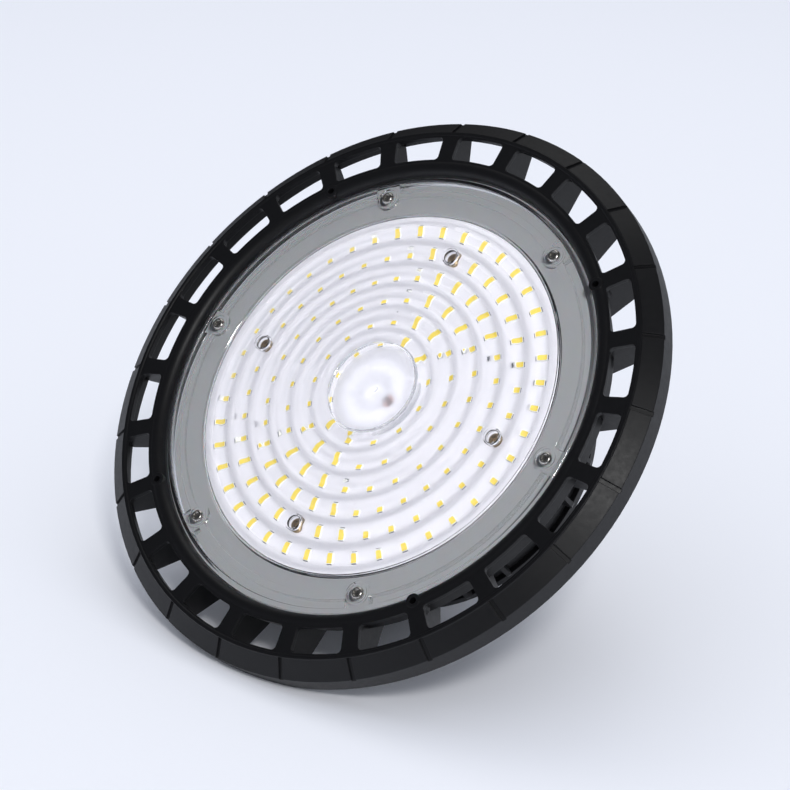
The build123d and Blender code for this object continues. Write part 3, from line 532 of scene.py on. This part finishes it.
def lens_profile(size):
    """The closed profile of the lens: front from the rim inwards, then back outwards."""
    # Smaller z is nearer to the viewer below the light, so the front is the side of the smaller heights.
    flange = LENS_BACK - size.flange_thickness
    channel_outer = LENS_RADIUS - size.rim_bead
    channel_inner = channel_outer - size.channel_width
    land_inner = channel_inner - size.land_width
    shoulder = flange + size.land_step
    trough = shoulder + size.trough_depth
    bead_edge = OUTER_RING + RING_PITCH / 2
    disc = size.disc_radius
    disc_back = LED_FACE - size.disc_gap
    disc_front = disc_back - size.disc_thickness
    soft = size.corner
    rim = arc((LENS_RADIUS, flange + 3 * soft), (LENS_RADIUS - 0.8 * soft, flange + 0.9 * soft),
              (LENS_RADIUS - 2.2 * soft, flange), 6)
    front = [(LENS_RADIUS, LENS_BACK), *rim, (LENS_RADIUS - 2.2 * soft, flange)]
    front += arc((channel_outer + 1.4 * soft, flange), (channel_outer + 0.4 * soft, flange + 0.4 * soft),
                 (channel_outer, flange + 1.4 * soft), 5)
    front += arc((channel_outer, flange + size.channel_depth - soft),
                 (channel_outer - 0.3 * soft, flange + size.channel_depth - 0.3 * soft),
                 (channel_outer - soft, flange + size.channel_depth), 4)
    front += arc((channel_inner + soft, flange + size.channel_depth),
                 (channel_inner + 0.3 * soft, flange + size.channel_depth - 0.3 * soft),
                 (channel_inner, flange + size.channel_depth - soft), 4)
    front += arc((channel_inner, flange + soft), (channel_inner - 0.3 * soft, flange + 0.3 * soft),
                 (channel_inner - soft, flange), 4)
    front += arc((land_inner + soft, flange), (land_inner + 0.3 * soft, flange + 0.3 * soft),
                 (land_inner, flange + soft), 4)
    front += [(land_inner - 0.2 * MM, shoulder), (size.foot + 3 * soft, shoulder + 0.2 * MM)]
    front += arc((size.foot + 2 * soft, trough - 0.4 * MM), (size.foot, trough),
                 (bead_edge + 0.2 * MM, bead_front(size, bead_edge) + 0.1 * MM), 5)
    front += bead_row(size, bead_edge, disc)
    front += arc((disc - 0.5 * MM, bead_front(size, disc) + 0.5 * MM), (disc - 0.7 * MM, disc_front - 0.1 * MM),
                 (disc - 1.3 * MM, disc_front), 5)
    front += [(disc - 1.3 * MM, disc_front), (size.gate_radius + 0.1 * MM, disc_front),
              (size.gate_radius - 0.1 * MM, disc_front - 0.75 * size.gate_rise), (0.0, disc_front - size.gate_rise)]
    steps = 24
    ledge = disc + 1.0 * MM
    back = [(0.0, disc_back), (disc - 0.2 * MM, disc_back), (disc + 0.2 * MM, disc_back - 0.3 * MM)]
    back += [(ledge + (bead_edge - ledge) * k / steps, lens_back(size, ledge + (bead_edge - ledge) * k / steps))
             for k in range(steps + 1)]
    back += [(size.foot + 0.6 * MM, LENS_BACK - 0.9 * MM), (size.foot + 1.6 * MM, LENS_BACK)]
    return front + back


class HIGHBAY_OT_lens(bpy.types.Operator):
    """Moulded clear lens with its beads, channel, pads and caps"""
    bl_idname = "highbay.lens"
    bl_label = "Lens"

    def execute(self, context):
        size = context.scene.highbay_lens
        flange = LENS_BACK - size.flange_thickness
        seat = SCREW_FACE + context.scene.highbay_screws.lens_height
        lens = revolve("lens_moulding", lens_profile(size), size.turns)
        screws = [(LENS_SCREW_CIRCLE, angle) for angle in LENS_SCREW_ANGLES]
        caps = [(SECOND_RING, angle) for angle in CAP_ANGLES]
        bridge = bmesh.new()
        bmesh.ops.create_cube(bridge, size=1.0)
        bmesh.ops.scale(bridge, vec=(size.channel_width + 1.0 * MM, 2 * size.pad_radius, size.channel_depth),
                        verts=bridge.verts)
        middle = LENS_RADIUS - size.rim_bead - size.channel_width / 2 - LENS_SCREW_CIRCLE
        height = flange + size.channel_depth / 2 + 0.15 * MM
        bmesh.ops.translate(bridge, vec=(middle, 0, height), verts=bridge.verts)
        bmesh.ops.bevel(bridge, geom=bridge.edges[:], offset=0.25 * MM, segments=2, affect="EDGES")
        carve(lens, round_copies("pad_bridges", bridge, screws), "UNION")
        pad_back = LENS_BACK - 0.5 * MM
        carve(lens, drum("pads", size.pad_radius, flange - 0.1 * MM, pad_back, screws, 0.3 * MM), "UNION")
        cap_front = bead_front(size, SECOND_RING) - 0.1 * MM
        cap_back = lens_back(size, SECOND_RING)
        carve(lens, drum("caps", size.cap_radius, cap_front, cap_back + 0.2 * MM, caps, 0.3 * MM), "UNION")
        hollows = drum("cap_hollows", size.cap_hollow, cap_front + size.cap_wall, cap_back + MM, caps, 0.3 * MM)
        carve(lens, hollows, "DIFFERENCE")
        carve(lens, drum("counterbores", size.counterbore, flange - 2 * MM, seat, screws, 0.1 * MM), "DIFFERENCE")
        carve(lens, drum("screw_holes", size.screw_hole, flange - 2 * MM, LENS_BACK + MM, screws), "DIFFERENCE")
        smooth(lens, 32.0)
        for face in lens.data.polygons:
            flat = abs(face.normal.z) > 0.99 and hypot(*face.center.xy) < size.disc_radius - 0.5 * MM
            face.material_index = 1 if flat else 0
        tint = context.scene.highbay_finishes.lens
        # The mould is polished but for its centre, which is etched, so that the disc blurs what lies behind.
        wear(lens, moulded_polycarbonate("polished_polycarbonate", tint, 0.03),
             moulded_polycarbonate("etched_polycarbonate", tint, 0.6))
        placed(lens, "clear_lens", "lens")
        return {"FINISHED"}


def rounded_rectangle(half_x, half_y, corner, steps=3):
    """Corner points of a rounded rectangle, anticlockwise."""
    points = []
    for sx, sy, start in ((1, 1, 0), (-1, 1, 90), (-1, -1, 180), (1, -1, 270)):
        for k in range(steps + 1):
            a = radians(start + 90 * k / steps)
            points.append((sx * (half_x - corner) + corner * cos(a), sy * (half_y - corner) + corner * sin(a)))
    return points


def led_package(size):
    """One LED: white body with a bevelled frame, sunk phosphor window and soldered terminals, facing -Z."""
    build = bmesh.new()
    half_x, half_y = LED_LENGTH / 2, LED_WIDTH / 2
    window_inset = size.window_margin + size.window_slope
    layers = [
        (half_x, half_y, size.edge, BOARD_FACE),
        (half_x, half_y, size.edge, LED_FACE + size.edge),
        (half_x - size.edge, half_y - size.edge, size.edge, LED_FACE),
        (half_x - size.window_margin, half_y - size.window_margin, size.window_corner, LED_FACE),
        (half_x - window_inset, half_y - window_inset, size.window_corner, LED_FACE + size.window_depth),
    ]
    rings = []
    for x, y, corner, z in layers:
        rings.append([build.verts.new((px, py, z)) for px, py in rounded_rectangle(x, y, corner)])
    for ring, after in zip(rings, rings[1:]):
        for k in range(len(ring)):
            n = (k + 1) % len(ring)
            build.faces.new((ring[k], ring[n], after[n], after[k]))
    build.faces.new(rings[0])
    window = build.faces.new(rings[-1])
    window.material_index = 1
    for side in (-1, 1):
        inner = side * half_x
        outer = side * (half_x + size.terminal_length)
        wedge = []
        for y in (-half_y * 0.8, half_y * 0.8):
            wedge.append([build.verts.new((inner, y, BOARD_FACE)), build.verts.new((outer, y, BOARD_FACE)),
                          build.verts.new((outer - side * 0.1 * MM, y, BOARD_FACE - size.terminal_height * 0.35)),
                          build.verts.new((inner, y, BOARD_FACE - size.terminal_height))])
        first, last = wedge
        faces = [build.faces.new(first), build.faces.new(last)]
        for k in range(4):
            n = (k + 1) % 4
            faces.append(build.faces.new((first[k], first[n], last[n], last[k])))
        for face in faces:
            face.material_index = 2
    bmesh.ops.recalc_face_normals(build, faces=build.faces)
    return build


class HIGHBAY_OT_leds(bpy.types.Operator):
    """Six rings of LED packages"""
    bl_idname = "highbay.leds"
    bl_label = "LEDs"

    def execute(self, context):
        look = context.scene.highbay_finishes
        finishes = (moulded_epoxy(look.package), phosphor_silicone(look.phosphor), tinned_solder())
        for k, (count, first) in enumerate(LED_RINGS):
            angles = [first + 360 / count * i for i in range(count)]
            if k == 1:
                angles = [a for a in angles if a not in CAP_ANGLES]
            radius = OUTER_RING - RING_PITCH * k
            ring = round_copies(f"led_packages_{k + 1}", led_package(context.scene.highbay_leds),
                                [(radius, angle) for angle in angles])
            wear(ring, *finishes)
            placed(ring, "led", f"leds_ring_{k + 1}")
        return {"FINISHED"}


class HIGHBAY_OT_board(bpy.types.Operator):
    """White circuit board, its screws and its heat pad"""
    bl_idname = "highbay.board"
    bl_label = "LED board"

    def execute(self, context):
        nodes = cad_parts
        wear(nodes["led_board"], solder_mask(context.scene.highbay_finishes.board))
        wear(nodes["board_screws"], drawn_metal("yellow_zinc_plate", "#8d7a5c"))
        wear(nodes["thermal_pad"], moulded_plastic("filled_silicone_sheet", "#74787c", 1.5, 0.6, 0.75))
        return {"FINISHED"}


def button_screw(head, height, shank, socket, face, end):
    """A button head screw on the axis: domed head with a hexagon socket and a ridged thread towards its end."""
    build = bmesh.new()
    steps = 48
    way = 1 if end > face else -1
    flat = socket / 2

    def hexagon(k):
        turn = degrees(2 * pi * k / steps) % 60 - 30
        return flat / cos(radians(turn))

    dome = arc((head, face + way * height * 0.75), (head * 0.84, face + way * height * 0.22), (head * 0.52, face), 8)
    pitch = shank / 3
    grooves = int(abs(end - face - way * height) / pitch)
    rings = [[0.0, face + way * height * 0.72]]
    rings += [["hex", face + way * height * 0.6], ["hex", face + way * 0.12 * height], [flat * 1.25, face]]
    rings += [[r, z] for r, z in reversed(dome)]
    rings += [[head, face + way * height * 0.75], [head * 0.97, face + way * height], [shank, face + way * height]]
    for k in range(grooves):
        start = face + way * (height + pitch * k)
        rings += [[shank, start + way * pitch * 0.2], [shank * 0.86, start + way * pitch * 0.5],
                  [shank, start + way * pitch * 0.8]]
    rings += [[shank * 0.8, end], [0.0, end]]
    made = []
    for r, z in rings:
        if r == 0.0:
            made.append([build.verts.new((0, 0, z))])
            continue
        radii = [hexagon(k) if r == "hex" else r for k in range(steps)]
        made.append([build.verts.new((q * cos(2 * pi * k / steps), q * sin(2 * pi * k / steps), z))
                     for k, q in enumerate(radii)])
    for below, above in zip(made, made[1:]):
        for k in range(steps):
            n = (k + 1) % steps
            corners = [below[k % len(below)], below[n % len(below)], above[n % len(above)], above[k % len(above)]]
            build.faces.new(list(dict.fromkeys(corners)))
    bmesh.ops.recalc_face_normals(build, faces=build.faces)
    return build


class HIGHBAY_OT_screws(bpy.types.Operator):
    """Stainless button head screws of the lens and the cover"""
    bl_idname = "highbay.screws"
    bl_label = "Screws"

    def execute(self, context):
        size = context.scene.highbay_screws
        steel = turned_stainless(context.scene.highbay_finishes.steel)
        lens_set = button_screw(size.lens_head, size.lens_height, size.lens_shank, size.lens_socket,
                                SCREW_FACE, SCREW_END)
        lens_screws = round_copies("lens_button_screws", lens_set,
                                   [(LENS_SCREW_CIRCLE, a) for a in LENS_SCREW_ANGLES])
        cover_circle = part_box("cover_screws")[1].y - size.cover_head
        cover_set = button_screw(size.cover_head, size.cover_height, size.cover_shank, size.cover_socket,
                                 COVER_SCREW_FACE, COVER_SCREW_END)
        cover_screws = round_copies("cover_button_screws", cover_set, [(cover_circle, a) for a in COVER_SCREW_ANGLES])
        for piece, node in ((lens_screws, "lens_screws"), (cover_screws, "cover_screws")):
            smooth(piece, 35.0)
            wear(piece, steel)
            placed(piece, "stainless", node)
        return {"FINISHED"}


class HIGHBAY_OT_castings(bpy.types.Operator):
    """Powder coat of the ring, fins and cover, and the gaskets between them"""
    bl_idname = "highbay.castings"
    bl_label = "Castings and gaskets"

    def execute(self, context):
        look = context.scene.highbay_finishes
        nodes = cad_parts
        coat = powder_coat(look.coat)
        for name in ("heat_sink", "cooling_fins", "rear_cover"):
            wear(nodes[name], coat)
        wear(nodes["lens_gasket"], cast_silicone(look.silicone))
        wear(nodes["cover_gasket"], moulded_plastic("black_silicone_rubber", "#141414", 1.0, 0.6, 0.75))
        return {"FINISHED"}


class HIGHBAY_OT_fittings(bpy.types.Operator):
    """Eye bolt, cable gland and breather plug on the cover"""
    bl_idname = "highbay.fittings"
    bl_label = "Fittings"

    def execute(self, context):
        look = context.scene.highbay_finishes
        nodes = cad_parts
        plate = zinc_plate(look.zinc)
        nylon = moulded_plastic("moulded_black_nylon", look.nylon)
        rubber = moulded_plastic("black_nitrile_rubber", "#101010", 1.0, 0.6, 0.75)
        for name in ("hanging_eye", "eye_nut"):
            wear(nodes[name], plate)
        for name in ("gland_body", "gland_nut", "gland_lock_nut", "breather_plug"):
            wear(nodes[name], nylon)
        for name in ("gland_seal", "breather_seal", "lead_grommet"):
            wear(nodes[name], rubber)
        return {"FINISHED"}


class HIGHBAY_OT_driver(bpy.types.Operator):
    """Driver board and its components inside the compartment"""
    bl_idname = "highbay.driver"
    bl_label = "Driver"

    def execute(self, context):
        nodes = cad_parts
        wear(nodes["driver_board"], moulded_plastic("green_solder_mask", "#1f5a35", 1.0, 0.3, 0.4))
        wear(nodes["driver_posts"], moulded_plastic("natural_nylon", "#d8d6cb"))
        wear(nodes["driver_screws"], drawn_metal("zinc_plated_screw", "#c3c6ca"))
        wear(nodes["driver_insulator"], moulded_plastic("polyester_film", "#dcdacd", 2.0, 0.3, 0.4))
        wear(nodes["driver_transformer"], moulded_plastic("pressed_ferrite", "#2f2f31", 0.8, 0.5, 0.65))
        wear(nodes["driver_choke"], drawn_metal("enamelled_copper_wire", "#b5673a", 0.3, 0.45))
        wear(nodes["driver_capacitors"], moulded_plastic("shrunk_sleeve", "#1d1e28", 2.0, 0.25, 0.35))
        wear(nodes["driver_transistors"], drawn_metal("extruded_aluminium", "#b9babc", 0.35, 0.5))
        wear(nodes["driver_terminal_block"], moulded_plastic("green_polyamide", "#2c7a45"))
        wear(nodes["dc_leads"], moulded_plastic("red_silicone_sleeve", "#d29a90"))
        return {"FINISHED"}


def table_up(place):
    """The upward direction of the table that the rim and the eye rest on."""
    out = Vector((cos(place.contact), sin(place.contact), 0))
    along = (out * (EYE_REACH - RIM_RADIUS) + Vector((0, 0, EYE_TOP - RIM_BACK))).normalized()
    side = Vector((0, 0, 1)).cross(out)
    up = along.cross(side).normalized()
    return (up if up.z < 0 else -up), out * RIM_RADIUS + Vector((0, 0, RIM_BACK))


def plane(name, centre, up, reach, tint):
    """A square of seamless paper that faces one way."""
    build = bmesh.new()
    bmesh.ops.create_grid(build, x_segments=1, y_segments=1, size=reach)
    made = as_object(name, build)
    made.rotation_mode = "QUATERNION"
    made.rotation_quaternion = up.to_track_quat("Z", "Y")
    made.location = centre
    wear(made, one_sided_paper(name, tint))
    return made


def softbox(name, place, target, width, height, power):
    """A soft white rectangular lamp, in metres and watts, that the camera doesn't see."""
    data = bpy.data.lights.new(name, "AREA")
    data.shape = "RECTANGLE"
    data.size = width
    data.size_y = height
    data.energy = power
    lamp = bpy.data.objects.new(name, data)
    bpy.context.scene.collection.objects.link(lamp)
    lamp.location = place
    lamp.rotation_mode = "QUATERNION"
    lamp.rotation_quaternion = (Vector(target) - Vector(place)).to_track_quat("-Z", "Y")
    lamp.visible_camera = False
    return lamp


def camera_axes(place, up):
    """Right, up and back directions of the camera."""
    back = (Vector(place.camera) - Vector(place.aim)).normalized()
    right = up.cross(back).normalized()
    right = Matrix.Rotation(place.roll, 3, back) @ right
    return right, back.cross(right), back


class HIGHBAY_OT_stage(bpy.types.Operator):
    """Camera, table, floor, soft lights and surroundings"""
    bl_idname = "highbay.stage"
    bl_label = "Stage"

    def execute(self, context):
        scene = context.scene
        place = scene.highbay_set
        up, contact = table_up(place)
        right, top, back = camera_axes(place, up)
        data = bpy.data.cameras.new("camera")
        data.lens = place.focal
        data.sensor_width = 36.0
        camera = bpy.data.objects.new("camera", data)
        scene.collection.objects.link(camera)
        stand = Vector(place.camera) + Vector((0, 0, CAST_FRONT))
        camera.matrix_world = Matrix.Translation(stand) @ Matrix((right, top, back)).transposed().to_4x4()
        scene.camera = camera

        away = (-back - up * (-back).dot(up)).normalized()
        table = plane("table", contact + away * 0.8, up, 1.6, place.table)
        table.visible_shadow = False
        floor = plane("floor", Vector((0, 0, -0.0001)), Vector((0, 0, 1)), 1.5, place.table)
        for ray in ("visible_shadow", "visible_diffuse", "visible_glossy", "visible_transmission"):
            setattr(floor, ray, False)

        middle = Vector((0, 0, 0.04))
        front = back * 0.93 + top * 0.34 + right * 0.16
        # The front lamp stands far off, so that it lights the near and the far side of the lens alike.
        softbox("front_softbox", middle + front * 4.5, middle, width=0.8, height=0.7, power=72)
        softbox("overhead_softbox", middle + up * 1.6 + away * 0.9, middle, width=1.2, height=0.8, power=4)
        behind = middle - back * 0.2 + Vector((0.3, -0.5, 1.3))
        softbox("rear_softbox", behind, middle, width=1.0, height=1.0, power=6)

        world = bpy.data.worlds.new("studio")
        world.use_nodes = True
        tree = world.node_tree
        tree.nodes.clear()
        path = add(tree, "ShaderNodeLightPath")
        direction = add(tree, "ShaderNodeTexCoord")
        height = add(tree, "ShaderNodeVectorMath", {0: direction.outputs["Generated"], 1: up},
                     operation="DOT_PRODUCT")
        shade = add(tree, "ShaderNodeMapRange", {"Value": height.outputs["Value"], "From Min": 0.1, "From Max": 0.5,
                                                 "To Min": place.studio_glow, "To Max": place.studio_dark})
        mirrored = add(tree, "ShaderNodeBackground", {"Color": linear("#e9ecf6"), "Strength": shade.outputs["Result"]})
        ambient = add(tree, "ShaderNodeBackground", {"Color": linear("#e6ecf8"), "Strength": place.ambient})
        seen = add(tree, "ShaderNodeBackground", {"Color": linear("#e9ebf3"), "Strength": 1.0})
        # Only mirrored light meets the darker studio; what the lens lets through stays as soft as the rest.
        mirror = add(tree, "ShaderNodeMath", {0: path.outputs["Is Glossy Ray"], 1: path.outputs["Is Transmission Ray"]},
                     operation="SUBTRACT", use_clamp=True)
        soft = add(tree, "ShaderNodeMixShader", {0: mirror.outputs["Value"], 1: ambient.outputs["Background"],
                                                 2: mirrored.outputs["Background"]})
        mix = add(tree, "ShaderNodeMixShader", {0: path.outputs["Is Camera Ray"], 1: soft.outputs["Shader"],
                                                2: seen.outputs["Background"]})
        add(tree, "ShaderNodeOutputWorld", {"Surface": mix.outputs["Shader"]})
        scene.world = world
        scene.view_settings.view_transform = "Standard"
        return {"FINISHED"}


class HIGHBAY_PT_panel(bpy.types.Panel):
    """Builds the light piece by piece"""
    bl_idname = "HIGHBAY_PT_panel"
    bl_label = "High bay light"
    bl_space_type = "VIEW_3D"
    bl_region_type = "UI"
    bl_category = "High Bay"

    def draw(self, context):
        for operator in OPERATORS:
            self.layout.operator(operator.bl_idname)
        for owner, names in GROUPS.items():
            group = getattr(context.scene, owner)
            for name in names.__annotations__:
                self.layout.prop(group, name)


OPERATORS = (
    HIGHBAY_OT_castings,
    HIGHBAY_OT_lens,
    HIGHBAY_OT_leds,
    HIGHBAY_OT_board,
    HIGHBAY_OT_screws,
    HIGHBAY_OT_fittings,
    HIGHBAY_OT_driver,
    HIGHBAY_OT_stage,
)
GROUPS = {
    "highbay_lens": LensSizes,
    "highbay_leds": LedSizes,
    "highbay_screws": ScrewSizes,
    "highbay_finishes": Finishes,
    "highbay_set": SetSizes,
}


def register():
    """Registers the sizes, the operators and the panel."""
    for name, group in GROUPS.items():
        bpy.utils.register_class(group)
        setattr(bpy.types.Scene, name, PointerProperty(type=group))
    for owner in (*OPERATORS, HIGHBAY_PT_panel):
        bpy.utils.register_class(owner)


def unregister():
    """Takes them away again."""
    for owner in (HIGHBAY_PT_panel, *reversed(OPERATORS)):
        bpy.utils.unregister_class(owner)
    for name, group in reversed(GROUPS.items()):
        delattr(bpy.types.Scene, name)
        bpy.utils.unregister_class(group)


def main():
    """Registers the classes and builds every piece."""
    register()
    for operator in OPERATORS:
        group, name = operator.bl_idname.split(".")
        getattr(getattr(bpy.ops, group), name)()


if __name__ == "__main__":
    main()
